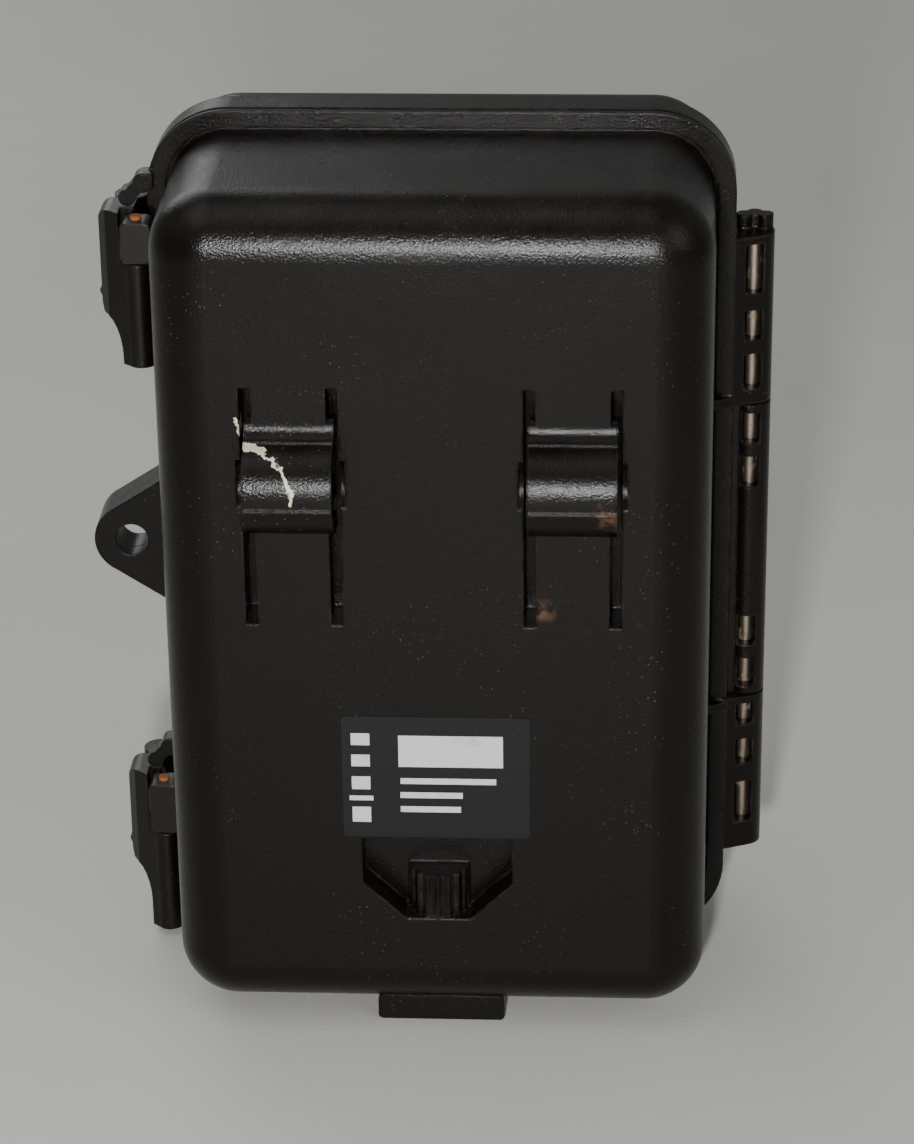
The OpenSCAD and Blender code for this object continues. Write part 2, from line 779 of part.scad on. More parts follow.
module tray_screws() {
  for (x = [-tray_ear_x, tray_ear_x], z = tray_ear_z)
    screw(x, z, tray_y1 - tray_t, 8, -1);
}

// Front half

module front_blank() {
  mirror([0, 1, 0]) pillow(-joint_y, -front_y, front_r);
  slab(half_w, 0, case_h, flange_r, joint_y - front_flange_t, joint_y);
  padlock_lug(joint_y - front_flange_t, joint_y);
  rod_z(axis_x, axis_y, split_low + knuckle_gap, split_high - knuckle_gap, barrel_r);
  box([axis_x, -half_w + 1], [joint_y - front_flange_t, joint_y - 0.5],
    [split_low + knuckle_gap, split_high - knuckle_gap]);
  difference() {
    union() {
      slab_at(0, glow_mid, glow_w + 2 * frame_lip, glow_h + 2 * frame_lip, 5,
        front_y - 1.2, front_y + 1);
      slab_at(0, motion_z, 2 * (motion_r + frame_lip), motion_h + 2 * frame_lip + 1, 5,
        front_y - 1.2, front_y + 1);
    }
    rod_y(0, eye_z, front_y - 2, front_y, bezel_r + panel_gap);
  }
  for (i = [0, 1]) latch_ears(i);
}

module front_posts() {
  for (x = [-post_x, post_x], z = post_z) rod_y(x, z, front_y + 1, board_y0, post_r);
  for (x = [-glow_w / 2 + 2.5, glow_w / 2 - 2.5], z = [glow_z0 + 1.5, glow_z1 - 1.5])
    rod_y(x, z, front_y + 1, lamp_board_y0, 2);
}

module front_shell() {
  difference() {
    union() {
      difference() {
        front_blank();
        slab(inner_hw, inner_z0, inner_z1, inner_r, front_in_y, joint_y + 1);
      }
      front_posts();
    }
    slab_at(0, glow_mid, glow_w, glow_h, 3, front_y - 3, front_y - 1.2 + glow_t);
    slab_at(0, glow_mid, glow_w - 7, glow_h - 3.4, 2, front_y - 3, front_in_y + 1);
    rod_y(0, eye_z, front_y - 1, front_y + 1.7, eye_r);
    rod_y(0, eye_z, front_y - 1, front_in_y + 1, eye_r - 1.2);
    box([-motion_r + 0.5, motion_r - 0.5], [front_y - 3, front_in_y + 1],
      [motion_z - motion_h / 2 - 0.2, motion_z + motion_h / 2 + 0.2]);
    rod_y(status_x, status_z, front_y - 1, front_in_y + 1, status_r + 0.1);
    padlock_hole();
    knuckle_bore(split_low, split_high);
    for (w = mid_windows) {
      window_cut(split_low + knuckle_gap + w[0], w[1]);
      window_cut(split_high - knuckle_gap - w[0] - w[1], w[1]);
    }
    box([-half_w - 1, -half_w + flange_relief], [joint_y - front_flange_t - 1, joint_y + 1],
      [hinge_low - 1, split_low + 0.2]);
    box([-half_w - 1, -half_w + flange_relief], [joint_y - front_flange_t - 1, joint_y + 1],
      [split_high - 0.2, hinge_high + 3.2]);
    for (x = [-post_x, post_x], z = post_z)
      rod_y(x, z, board_y0 - 6, board_y0 + 1, screw_r);
    seal_ring(1.4, 0.1);
  }
}

// Ring round the opening, sunk in the front shell's rim
module seal_ring(d, play) {
  w = 0.8 + play / 2;
  m = shell_hw - wall / 2;
  inset = wall / 2;
  difference() {
    slab(m + w, shell_z0 + inset - w, shell_z1 - inset + w, shell_r - inset + w,
      joint_y - d, joint_y + play);
    slab(m - w, shell_z0 + inset + w, shell_z1 - inset - w, shell_r - inset - w,
      joint_y - d - 1, joint_y + 1);
  }
}

module case_seal() {
  seal_ring(1.4, 0);
}

module glow_window() {
  slab_at(0, glow_mid, glow_w - 0.4, glow_h - 0.4, 2.8, front_y - 1.2, front_y - 1.2 + glow_t);
}

module lamp_board() {
  box([-glow_w / 2, glow_w / 2], [lamp_board_y0, lamp_board_y1], [glow_z0 - 1, glow_z1 + 1]);
}

module lamps() {
  for (i = [0:lamp_cols - 1], j = [0:lamp_rows - 1]) {
    x = (i - (lamp_cols - 1) / 2) * lamp_px;
    z = glow_mid + (j - (lamp_rows - 1) / 2) * lamp_pz;
    rod_y(x, z, lamp_board_y0 - lamp_l + lamp_r, lamp_board_y0, lamp_r);
    translate([x, lamp_board_y0 - lamp_l + lamp_r, z]) sphere(lamp_r);
    rod_y(x, z, lamp_board_y0 - 1, lamp_board_y0, lamp_r + 0.4);
  }
}

module lens_bezel() {
  difference() {
    rod_y(0, eye_z, front_y - bezel_h, front_y, bezel_r);
    translate([0, front_y - bezel_h - eps, eye_z]) rotate([-90, 0, 0])
      cylinder(r1 = bezel_r - 1.8, r2 = eye_r - 1, h = bezel_h + 2 * eps);
  }
}

module lens_window() {
  rod_y(0, eye_z, front_y + 0.2, front_y + 1.7, eye_r - 0.1);
}

module lens_tube() {
  difference() {
    union() {
      rod_y(0, eye_z, tube_y0, sensor_y0, tube_r);
      box([-8.5, 8.5], [sensor_y0 - 3, sensor_y0], [eye_z - 8.5, eye_z + 8.5]);
    }
    rod_y(0, eye_z, tube_y0 - 1, tube_y0 + 4, tube_r - 1.6);
    rod_y(0, eye_z, tube_y0 + 3, sensor_y0 + 1, 3);
  }
}

module lens_glass() {
  intersection() {
    translate([0, tube_y0 + 8.8, eye_z]) sphere(8);
    rod_y(0, eye_z, tube_y0, tube_y0 + 4, tube_r - 1.6);
  }
}

module sensor_board() {
  box([-13, 13], [sensor_y0, sensor_y1], [eye_z - 13, eye_z + 13]);
  box([-9, 9], [sensor_y1, board_y0], [eye_z - 12, eye_z - 8]);
}

module motion_lens() {
  z0 = motion_z - motion_h / 2;
  z1 = motion_z + motion_h / 2;
  difference() {
    union() {
      intersection() {
        rod_z(0, motion_axis_y, z0, z1, motion_r - 0.7);
        box([-motion_r, motion_r], [front_y - motion_proud - 1, front_in_y], [z0, z1]);
      }
      box([-motion_r - 1.5, motion_r + 1.5], [front_in_y, front_in_y + 1],
        [z0 - 1.5, z1 + 1.5]);
    }
    rod_z(0, motion_axis_y, z0 + motion_t, z1 - motion_t, motion_r - 0.7 - motion_t);
  }
}

module motion_sensor() {
  rod_y(0, motion_z, board_y0 - 0.6, board_y0, 4.9);
  rod_y(0, motion_z, board_y0 - 4.2, board_y0, 4.2);
}

module status_light() {
  rod_y(status_x, status_z, front_y - 0.4, board_y0, status_r);
}

module main_board() {
  difference() {
    slab(inner_hw - 1, inner_z0 + 1, inner_z1 - 1, 4, board_y0, board_y1);
    for (x = [-post_x, post_x], z = post_z) rod_y(x, z, board_y0 - 1, board_y1 + 1, screw_r + 0.2);
  }
}

module card_pocket() {
  box([card_x - card_w / 2 - 1.4, card_x + card_w / 2 + 1.4],
    [panel_y0 - 4, panel_y1 + 1], [card_z - 2.2, card_z + card_l + card_travel + 7]);
}

module control_panel() {
  difference() {
    union() {
      slab(panel_hw, inner_z0 + panel_gap, inner_z1 - panel_gap, inner_r - panel_gap,
        panel_y0, panel_y1);
      for (x = [-post_x, post_x], z = post_z) rod_y(x, z, board_y1, panel_y0, post_r);
    }
    slab_at(0, screen_z, screen_w + 0.4, screen_h + 0.4, 1.2, panel_y0 - 1, panel_y1 + 1);
    for (k = key_at)
      rod_y(k[0] * key_pitch, key_z + k[1] * key_pitch, panel_y0 - 1, panel_y1 + 1,
        key_r + panel_gap);
    slab_at(switch_x, switch_z, 5.6, 2 * switch_step + 5.6, 1, panel_y0 - 1, panel_y1 + 1);
    card_pocket();
    slab_at(port_x, port_z, 9, 5.4, 0.8, panel_y0 - 1, panel_y1 + 1);
    rod_y(jack_x, port_z, panel_y0 - 1, panel_y1 + 1, 3.8);
    for (x = [-post_x, post_x], z = post_z) {
      rod_y(x, z, panel_y1 - head_h, panel_y1 + 1, head_r + 0.2);
      rod_y(x, z, board_y1 - 1, panel_y1 + 1, screw_r + 0.2);
    }
  }
}

module panel_screws() {
  for (x = [-post_x, post_x], z = post_z)
    screw(x, z, panel_y1 - head_h, panel_y1 - head_h - board_y0 + 5, 1);
}

module screen() {
  box([-screen_w / 2 - 2, screen_w / 2 + 2], [board_y1, panel_y0],
    [screen_z - screen_h / 2 - 2, screen_z + screen_h / 2 + 2]);
}

module screen_window() {
  slab_at(0, screen_z, screen_w, screen_h, 1, panel_y0, panel_y1 - 0.3);
}

module key(i) {
  x = key_at[i][0] * key_pitch;
  z = key_z + key_at[i][1] * key_pitch;
  foot_y = board_y1 + key_travel + 0.3;
  rod_y(x, z, foot_y + 1, panel_y1 + key_proud, key_r);
  rod_y(x, z, panel_y0 - 0.9, panel_y0 - 0.2, key_r + 0.9);
  rod_y(x, z, foot_y, foot_y + 2, 1.5);
}

module switch_body() {
  box([switch_x - 4, switch_x + 4], [board_y1, board_y1 + 1.6],
    [switch_z - switch_step - 5, switch_z + switch_step + 5]);
}

module power_switch() {
  z = switch_z - switch_step;
  box([switch_x - 2.5, switch_x + 2.5], [board_y1 + 1.8, panel_y1 + 0.6], [z - 2.5, z + 2.5]);
  for (i = [-1, 0, 1])
    box([switch_x - 2.5, switch_x + 2.5], [panel_y1 + 0.6 - eps, panel_y1 + 0.85],
      [z + i * 1.6 - 0.4, z + i * 1.6 + 0.4]);
}

module card_socket() {
  difference() {
    box([card_x - card_w / 2 - 1.2, card_x + card_w / 2 + 1.2],
      [board_y1, card_y0 + card_t + 0.8], [card_z - 2, card_z + card_l - 3]);
    box([card_x - card_w / 2 - 0.2, card_x + card_w / 2 + 0.2],
      [card_y0 - 0.2, card_y0 + card_t + 0.2], [card_z - 0.2, card_z + card_l]);
  }
}

module memory_card() {
  prism_y(card_y0, card_y0 + card_t)
    polygon([[card_x - card_w / 2, card_z + 4], [card_x - card_w / 2 + 4, card_z],
      [card_x + card_w / 2, card_z], [card_x + card_w / 2, card_z + card_l],
      [card_x - card_w / 2, card_z + card_l]]);
}

module data_port() {
  difference() {
    slab_at(port_x, port_z, 8.4, 4.8, 0.6, board_y1, panel_y1 - 0.4);
    slab_at(port_x, port_z, 7.2, 3.6, 0.4, panel_y1 - 4, panel_y1);
  }
  box([port_x - 2.4, port_x + 2.4], [panel_y1 - 4 - eps, panel_y1 - 1], [port_z - 0.5, port_z + 0.5]);
}

module video_jack() {
  difference() {
    rod_y(jack_x, port_z, board_y1, panel_y1 - 0.3, 3.5);
    rod_y(jack_x, port_z, board_y1 + 0.6, panel_y1, 1.8);
  }
}

// Latch pieces

module latch_pin(i) {
  rod_z(latch_x, latch_y, latch_z[i] + 1.4, latch_z[i] + latch_h[i] - 0.3, latch_pin_r);
}

module link_pin(i) {
  rod_z(bead_x, bead_y, latch_z[i] + 8, latch_z[i] + latch_h[i] - link_top + 0.6, link_pin_r);
}

color("#3a332c") rear_shell();
color("goldenrod") tripod_insert();
color("peru") hinge_pin();
color("#1d2433") rating_label();
color("#262626") battery_tray();
color("silver") contact_plates();
color("lightgray") contact_springs();
color("gray") tray_screws();
for (i = [0:7])
  color("darkkhaki") cell(i);
color("#40382f") front_shell();
color("dimgray") case_seal();
color("#181010") glow_window();
color("darkgreen") lamp_board();
color("lightblue") lamps();
color("#151515") lens_bezel();
color("#7090a0") lens_window();
color("#202020") lens_tube();
color("#304060") lens_glass();
color("darkgreen") sensor_board();
color("whitesmoke") motion_lens();
color("silver") motion_sensor();
color("crimson") status_light();
color("darkgreen") main_board();
color("#2b2b2b") control_panel();
color("gray") panel_screws();
color("#506050") screen();
color("#90a090") screen_window();
for (i = [0:5])
  color("#606060") key(i);
color("gray") switch_body();
color("#707070") power_switch();
color("silver") card_socket();
color("navy") memory_card();
color("silver") data_port();
color("#303030") video_jack();
color("peru") latch_pin(1);  // latch_pin_upper
color("peru") latch_pin(0);  // latch_pin_lower
color("#2e2822") lever(1);  // latch_upper
color("#2e2822") lever(0);  // latch_lower
color("#4a443c") link(1);  // latch_link_upper
color("#4a443c") link(0);  // latch_link_lower
color("chocolate") link_pin(1);  // link_pin_upper
color("chocolate") link_pin(0);  // link_pin_lower
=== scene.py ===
import math

import bpy
from mathutils import Matrix, Vector


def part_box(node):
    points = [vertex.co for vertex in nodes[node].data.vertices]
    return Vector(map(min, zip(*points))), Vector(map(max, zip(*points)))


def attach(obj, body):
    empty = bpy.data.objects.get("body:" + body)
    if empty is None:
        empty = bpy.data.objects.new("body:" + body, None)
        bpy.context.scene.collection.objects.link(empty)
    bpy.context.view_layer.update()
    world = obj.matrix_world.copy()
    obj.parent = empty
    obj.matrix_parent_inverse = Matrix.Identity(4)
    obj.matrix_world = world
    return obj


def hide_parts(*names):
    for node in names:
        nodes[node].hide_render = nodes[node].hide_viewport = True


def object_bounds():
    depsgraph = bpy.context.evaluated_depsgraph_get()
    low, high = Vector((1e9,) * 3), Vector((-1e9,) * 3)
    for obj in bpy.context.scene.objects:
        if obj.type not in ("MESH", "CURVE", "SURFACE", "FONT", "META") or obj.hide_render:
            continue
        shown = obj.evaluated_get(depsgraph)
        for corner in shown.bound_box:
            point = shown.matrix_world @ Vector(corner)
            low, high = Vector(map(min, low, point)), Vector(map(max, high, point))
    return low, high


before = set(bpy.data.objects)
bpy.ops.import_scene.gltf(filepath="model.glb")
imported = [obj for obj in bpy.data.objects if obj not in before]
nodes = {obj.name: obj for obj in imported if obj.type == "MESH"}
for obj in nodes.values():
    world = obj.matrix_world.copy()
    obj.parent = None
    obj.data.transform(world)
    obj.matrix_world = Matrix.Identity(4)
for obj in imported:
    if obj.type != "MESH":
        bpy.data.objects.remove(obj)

CAD_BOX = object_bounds()
MM = 0.001


# ---------------------------------------------------------------- camera

def place_camera(aim, azimuth, elevation, roll, distance, lens):
    """Sets up the camera from its angles in degrees; gives its axes: away from the aim, right, up."""
    a, e, r = (math.radians(v) for v in (azimuth, elevation, roll))
    away = Vector((math.sin(a) * math.cos(e), -math.cos(a) * math.cos(e), math.sin(e)))
    level = Vector((math.cos(a), math.sin(a), 0))
    above = away.cross(level)
    right = level * math.cos(r) + above * math.sin(r)
    up = above * math.cos(r) - level * math.sin(r)
    data = bpy.data.cameras.new("studio_camera")
    data.lens = lens
    data.sensor_width = 36
    data.clip_start = 0.01
    camera = bpy.data.objects.new("studio_camera", data)
    bpy.context.scene.collection.objects.link(camera)
    turn = Matrix((right, up, away)).transposed()
    camera.matrix_world = Matrix.Translation(Vector(aim) + away * distance) @ turn.to_4x4()
    bpy.context.scene.camera = camera
    return away, right, up


AIM = Vector((-2.532, 1, 70.975)) * MM
EYE_DISTANCE = 0.572
away, cam_right, cam_up = place_camera(AIM, azimuth=183.294, elevation=25.287, roll=-0.748,
                                       distance=EYE_DISTANCE, lens=118.76)


# ---------------------------------------------------------------- node groups

def start_group(name, inputs, outputs):
    tree = bpy.data.node_groups.new(name, "ShaderNodeTree")
    for label, kind, value in inputs:
        socket = tree.interface.new_socket(label, in_out="INPUT", socket_type=kind)
        if value is not None:
            socket.default_value = value
    for label, kind in outputs:
        tree.interface.new_socket(label, in_out="OUTPUT", socket_type=kind)
    return tree, tree.nodes.new("NodeGroupInput"), tree.nodes.new("NodeGroupOutput")


def add(tree, kind, **settings):
    made = tree.nodes.new(kind)
    for key, value in settings.items():
        setattr(made, key, value)
    return made


def math_node(tree, operation, a, b=None, clamp=False):
    made = add(tree, "ShaderNodeMath", operation=operation, use_clamp=clamp)
    for socket, value in zip(made.inputs, (a, b)):
        if value is None:
            continue
        if hasattr(value, "is_output"):
            tree.links.new(value, socket)
        else:
            socket.default_value = value
    return made.outputs[0]


def remap(tree, value, low, high, out_low=0.0, out_high=1.0):
    made = add(tree, "ShaderNodeMapRange")
    tree.links.new(value, made.inputs["Value"])
    made.inputs["From Min"].default_value = low
    made.inputs["From Max"].default_value = high
    made.inputs["To Min"].default_value = out_low
    made.inputs["To Max"].default_value = out_high
    return made.outputs["Result"]


def noise(tree, coordinates, scale, detail=3.0, rough=0.55):
    made = add(tree, "ShaderNodeTexNoise")
    tree.links.new(coordinates, made.inputs["Vector"])
    if hasattr(scale, "is_output"):
        tree.links.new(scale, made.inputs["Scale"])
    else:
        made.inputs["Scale"].default_value = scale
    made.inputs["Detail"].default_value = detail
    made.inputs["Roughness"].default_value = rough
    return made.outputs["Fac"]


def object_coordinates(tree):
    return add(tree, "ShaderNodeTexCoord").outputs["Object"]


def away_from(tree, value, centre):
    return math_node(tree, "ABSOLUTE", math_node(tree, "SUBTRACT", value, centre))


def distance_of(tree, a, b):
    """Distance of the point (a, b) from (0, 0)."""
    squares = [math_node(tree, "MULTIPLY", value, value) for value in (a, b)]
    return math_node(tree, "SQRT", math_node(tree, "ADD", *squares))


def build_moulded_grain():
    """Grain of a moulded case: fine pits for the height, and slower changes of tone."""
    tree, given, out = start_group(
        "moulded_grain",
        [("Grain per metre", "NodeSocketFloat", 1800.0), ("Tone per metre", "NodeSocketFloat", 45.0)],
        [("Height", "NodeSocketFloat"), ("Tone", "NodeSocketFloat")])
    where = object_coordinates(tree)
    fine = noise(tree, where, given.outputs["Grain per metre"], 2.0, 0.6)
    wider = math_node(tree, "MULTIPLY", given.outputs["Grain per metre"], 0.37)
    coarse = noise(tree, where, wider, 2.0, 0.5)
    fine_share, coarse_share = 0.82, 0.18
    height = math_node(tree, "ADD", math_node(tree, "MULTIPLY", fine, fine_share),
                       math_node(tree, "MULTIPLY", coarse, coarse_share))
    tone = noise(tree, where, given.outputs["Tone per metre"], 5.0, 0.6)
    tree.links.new(height, out.inputs["Height"])
    tree.links.new(tone, out.inputs["Tone"])
    return tree


def build_edge_wear():
    """Mask of edges that hands and straps rub pale."""
    tree, given, out = start_group(
        "edge_wear",
        [("Radius", "NodeSocketFloat", 0.0006), ("Breakup per metre", "NodeSocketFloat", 350.0),
         ("Amount", "NodeSocketFloat", 1.0)],
        [("Mask", "NodeSocketFloat"), ("Normal", "NodeSocketVector")])
    soft = add(tree, "ShaderNodeBevel", samples=4)
    tree.links.new(given.outputs["Radius"], soft.inputs["Radius"])
    sharp = add(tree, "ShaderNodeNewGeometry")
    dot = add(tree, "ShaderNodeVectorMath", operation="DOT_PRODUCT")
    tree.links.new(soft.outputs[0], dot.inputs[0])
    tree.links.new(sharp.outputs["Normal"], dot.inputs[1])
    rim = remap(tree, dot.outputs["Value"], 0.995, 0.85)
    broken = noise(tree, object_coordinates(tree), given.outputs["Breakup per metre"], 4.0, 0.7)
    rough = remap(tree, broken, 0.42, 0.62)
    mask = math_node(tree, "MULTIPLY", math_node(tree, "MULTIPLY", rim, rough),
                     given.outputs["Amount"], clamp=True)
    tree.links.new(mask, out.inputs["Mask"])
    tree.links.new(soft.outputs[0], out.inputs["Normal"])
    return tree


def build_dust():
    """Mask of dust: patches of specks, and a film on what faces up."""
    tree, given, out = start_group(
        "settled_dust",
        [("Specks per metre", "NodeSocketFloat", 900.0), ("Speck share", "NodeSocketFloat", 0.3),
         ("Film", "NodeSocketFloat", 0.3)],
        [("Mask", "NodeSocketFloat")])
    where = object_coordinates(tree)
    cells = add(tree, "ShaderNodeTexVoronoi")
    tree.links.new(where, cells.inputs["Vector"])
    tree.links.new(given.outputs["Specks per metre"], cells.inputs["Scale"])
    near = remap(tree, cells.outputs["Distance"], 0.16, 0.05)
    patch = remap(tree, noise(tree, where, 70.0, 3.0), 0.5, 0.72)
    specks = math_node(tree, "MULTIPLY", math_node(tree, "MULTIPLY", near, patch),
                       given.outputs["Speck share"])
    up = add(tree, "ShaderNodeSeparateXYZ")
    tree.links.new(add(tree, "ShaderNodeNewGeometry").outputs["Normal"], up.inputs[0])
    lying = remap(tree, up.outputs["Z"], 0.2, 1.0)
    cloud = remap(tree, noise(tree, where, 120.0, 5.0, 0.65), 0.35, 0.7)
    film = math_node(tree, "MULTIPLY", math_node(tree, "MULTIPLY", lying, cloud),
                     given.outputs["Film"])
    tree.links.new(math_node(tree, "ADD", specks, film, clamp=True), out.inputs["Mask"])
    return tree


def build_rust():
    """Mask of rust blooms, and a finer pitting to roughen the surface with."""
    tree, given, out = start_group(
        "rust_bloom",
        [("Blooms per metre", "NodeSocketFloat", 400.0), ("Cover", "NodeSocketFloat", 0.5)],
        [("Mask", "NodeSocketFloat"), ("Height", "NodeSocketFloat")])
    where = object_coordinates(tree)
    bloom = noise(tree, where, given.outputs["Blooms per metre"], 5.0, 0.65)
    edge = math_node(tree, "SUBTRACT", 0.75, math_node(tree, "MULTIPLY", given.outputs["Cover"], 0.5))
    full = math_node(tree, "ADD", edge, 0.12)
    spread = add(tree, "ShaderNodeMapRange")
    tree.links.new(bloom, spread.inputs["Value"])
    tree.links.new(edge, spread.inputs["From Min"])
    tree.links.new(full, spread.inputs["From Max"])
    tree.links.new(spread.outputs["Result"], out.inputs["Mask"])
    tree.links.new(noise(tree, where, 3000.0, 3.0, 0.7), out.inputs["Height"])
    return tree


GRAIN = build_moulded_grain()
WEAR = build_edge_wear()
DUST = build_dust()
RUST = build_rust()


# ---------------------------------------------------------------- materials

class Finish:
    """A Principled material and the few steps that build it up."""

    def __init__(self, name, roughness, metallic=0.0, ior=1.5, specular=0.5):
        self.material = bpy.data.materials.new(name)
        self.material.use_nodes = True
        self.tree = self.material.node_tree
        self.shader = self.tree.nodes["Principled BSDF"]
        self.shader.inputs["Roughness"].default_value = roughness
        self.shader.inputs["Metallic"].default_value = metallic
        self.shader.inputs["IOR"].default_value = ior
        self.shader.inputs["Specular IOR Level"].default_value = specular

    def group(self, tree, **values):
        """Places a node group; a value's name has underscores where the socket's has spaces."""
        made = add(self.tree, "ShaderNodeGroup", node_tree=tree)
        for label, value in values.items():
            made.inputs[label.replace("_", " ")].default_value = value
        return made

    def link(self, value, socket):
        self.tree.links.new(value, socket)

    def mix(self, factor, below, above):
        made = add(self.tree, "ShaderNodeMix", data_type="RGBA")
        sockets = (made.inputs[0], made.inputs[6], made.inputs[7])
        for socket, value in zip(sockets, (factor, below, above)):
            if hasattr(value, "is_output"):
                self.link(value, socket)
            elif isinstance(value, (int, float)):
                socket.default_value = value
            else:
                socket.default_value = (*value, 1.0)
        return made.outputs[2]

    def bump(self, height, depth, normal=None):
        made = add(self.tree, "ShaderNodeBump")
        made.inputs["Strength"].default_value = 1.0
        made.inputs["Distance"].default_value = depth
        self.link(height, made.inputs["Height"])
        if normal is not None:
            self.link(normal, made.inputs["Normal"])
        return made.outputs["Normal"]

    def finish(self, colour=None, roughness=None, normal=None):
        for value, label in ((colour, "Base Color"), (roughness, "Roughness"), (normal, "Normal")):
            if value is not None:
                self.link(value, self.shader.inputs[label])
        return self.material


def moulded_plastic(name, colour, pale, roughness, grain=1800.0, depth=0.00003, wear=0.5,
                    radius=0.0005, specks=0.3, film=0.3, dust=(0.30, 0.27, 0.23), tone=45.0,
                    specular=0.5, marks=None, relief=None):
    """Plastic with grain, paler rubbed edges and dust; marks and relief add to the colour and surface."""
    work = Finish(name, roughness, specular=specular)
    texture = work.group(GRAIN, Grain_per_metre=grain, Tone_per_metre=tone)
    rim = work.group(WEAR, Radius=radius, Amount=wear)
    dirt = work.group(DUST, Speck_share=specks, Film=film)
    shade = remap(work.tree, texture.outputs["Tone"], 0.3, 0.7)
    darker = [c * 0.82 for c in colour]
    base = work.mix(shade, darker, colour)
    worn = work.mix(rim.outputs["Mask"], base, pale)
    dusty = work.mix(dirt.outputs["Mask"], worn, dust)
    if marks is not None:
        dusty = marks(work, dusty)
    rough = remap(work.tree, texture.outputs["Tone"], 0.25, 0.75, roughness - 0.05, roughness + 0.07)
    dust_dulls = math_node(work.tree, "MULTIPLY", dirt.outputs["Mask"], 0.35)
    rough = math_node(work.tree, "ADD", rough, dust_dulls, clamp=True)
    normal = work.bump(texture.outputs["Height"], depth, rim.outputs["Normal"])
    if relief is not None:
        dusty, normal = relief(work, dusty, normal)
    return work.finish(dusty, rough, normal)


METAL_GRAIN_DEPTH = 0.02 * MM


def metal_base(name, colour, roughness):
    """Metal of uneven tone whose edges are rubbed bright, before its roughness is set."""
    work = Finish(name, roughness, metallic=1.0)
    texture = work.group(GRAIN, Grain_per_metre=2500.0, Tone_per_metre=220.0)
    rim = work.group(WEAR, Radius=0.2 * MM, Amount=0.4)
    shade = remap(work.tree, texture.outputs["Tone"], 0.3, 0.7)
    base = work.mix(shade, [c * 0.75 for c in colour], colour)
    worn = work.mix(rim.outputs["Mask"], base, [min(1.0, c * 1.3) for c in colour])
    return work, texture, rim, worn


def clean_metal(name, colour, roughness, relief=None):
    work, texture, rim, worn = metal_base(name, colour, roughness)
    rough = remap(work.tree, texture.outputs["Tone"], 0.2, 0.8, roughness - 0.06, roughness + 0.1)
    normal = work.bump(texture.outputs["Height"], METAL_GRAIN_DEPTH, rim.outputs["Normal"])
    if relief is not None:
        worn, normal = relief(work, worn, normal)
    return work.finish(worn, rough, normal)


def rusty_metal(name, colour, roughness, rust, rust_colour):
    work, texture, rim, worn = metal_base(name, colour, roughness)
    spots = work.group(RUST, Cover=rust)
    rusty = work.mix(spots.outputs["Mask"], worn, rust_colour)
    rough = remap(work.tree, spots.outputs["Mask"], 0.0, 1.0, roughness, 0.85)
    shine = remap(work.tree, spots.outputs["Mask"], 0.0, 1.0, 1.0, 0.15)
    work.link(shine, work.shader.inputs["Metallic"])
    normal = work.bump(spots.outputs["Height"], METAL_GRAIN_DEPTH * 2, rim.outputs["Normal"])
    return work.finish(rusty, rough, normal)


def axes(work):
    """The X, Y and Z of Object coordinates, in metres."""
    split = add(work.tree, "ShaderNodeSeparateXYZ")
    work.link(object_coordinates(work.tree), split.inputs[0])
    return split.outputs["X"], split.outputs["Y"], split.outputs["Z"]


BRASS_COLOUR = (0.62, 0.42, 0.14)
MILKY = (0.60, 0.60, 0.57)
# near-black painted shade for the screw heads' cross recesses
PAINTED_RECESS_SHADE = (0.02, 0.02, 0.02)


def thread_relief(work, colour, normal):
    """Screw thread that turns round the tripod socket's axis, with painted shade darkening its grooves."""
    tree = work.tree
    pitch = 1.27 * MM
    x, y, z = axes(work)
    turn = math_node(tree, "DIVIDE", math_node(tree, "ARCTAN2", y, x), math.tau)
    climb = math_node(tree, "DIVIDE", z, pitch)
    ridge = math_node(tree, "PINGPONG", math_node(tree, "ADD", climb, turn), 0.5)
    crest = remap(tree, ridge, 0.1, 0.4)
    # painted shade: the thread's grooves are darkened to stand in for the shade that falls in them
    painted_groove_shade = [c * 0.35 for c in BRASS_COLOUR]
    return work.mix(crest, painted_groove_shade, colour), work.bump(crest, 0.4 * MM, normal)


def cross_relief(centre_x, rows):
    """Cross recesses at mirrored places, for the heads of a set of screws, painted near-black as painted
    shade.
    """
    half_slot = 0.32 * MM
    half_length = 1.25 * MM

    def bar(tree, width, length):
        thin = remap(tree, width, half_slot * 1.3, half_slot)
        return math_node(tree, "MULTIPLY", thin, remap(tree, length, half_length, half_length * 0.8))

    def relief(work, colour, normal):
        tree = work.tree
        x, _, z = axes(work)
        across = away_from(tree, math_node(tree, "ABSOLUTE", x), centre_x)
        along = math_node(tree, "MINIMUM", away_from(tree, z, rows[0]), away_from(tree, z, rows[1]))
        cross = math_node(tree, "MAXIMUM", bar(tree, across, along), bar(tree, along, across))
        flat = math_node(tree, "SUBTRACT", 1.0, cross)
        # painted shade: the cross recesses are coloured near-black where shade falls in them
        return work.mix(cross, colour, PAINTED_RECESS_SHADE), work.bump(flat, 0.6 * MM, normal)

    return relief


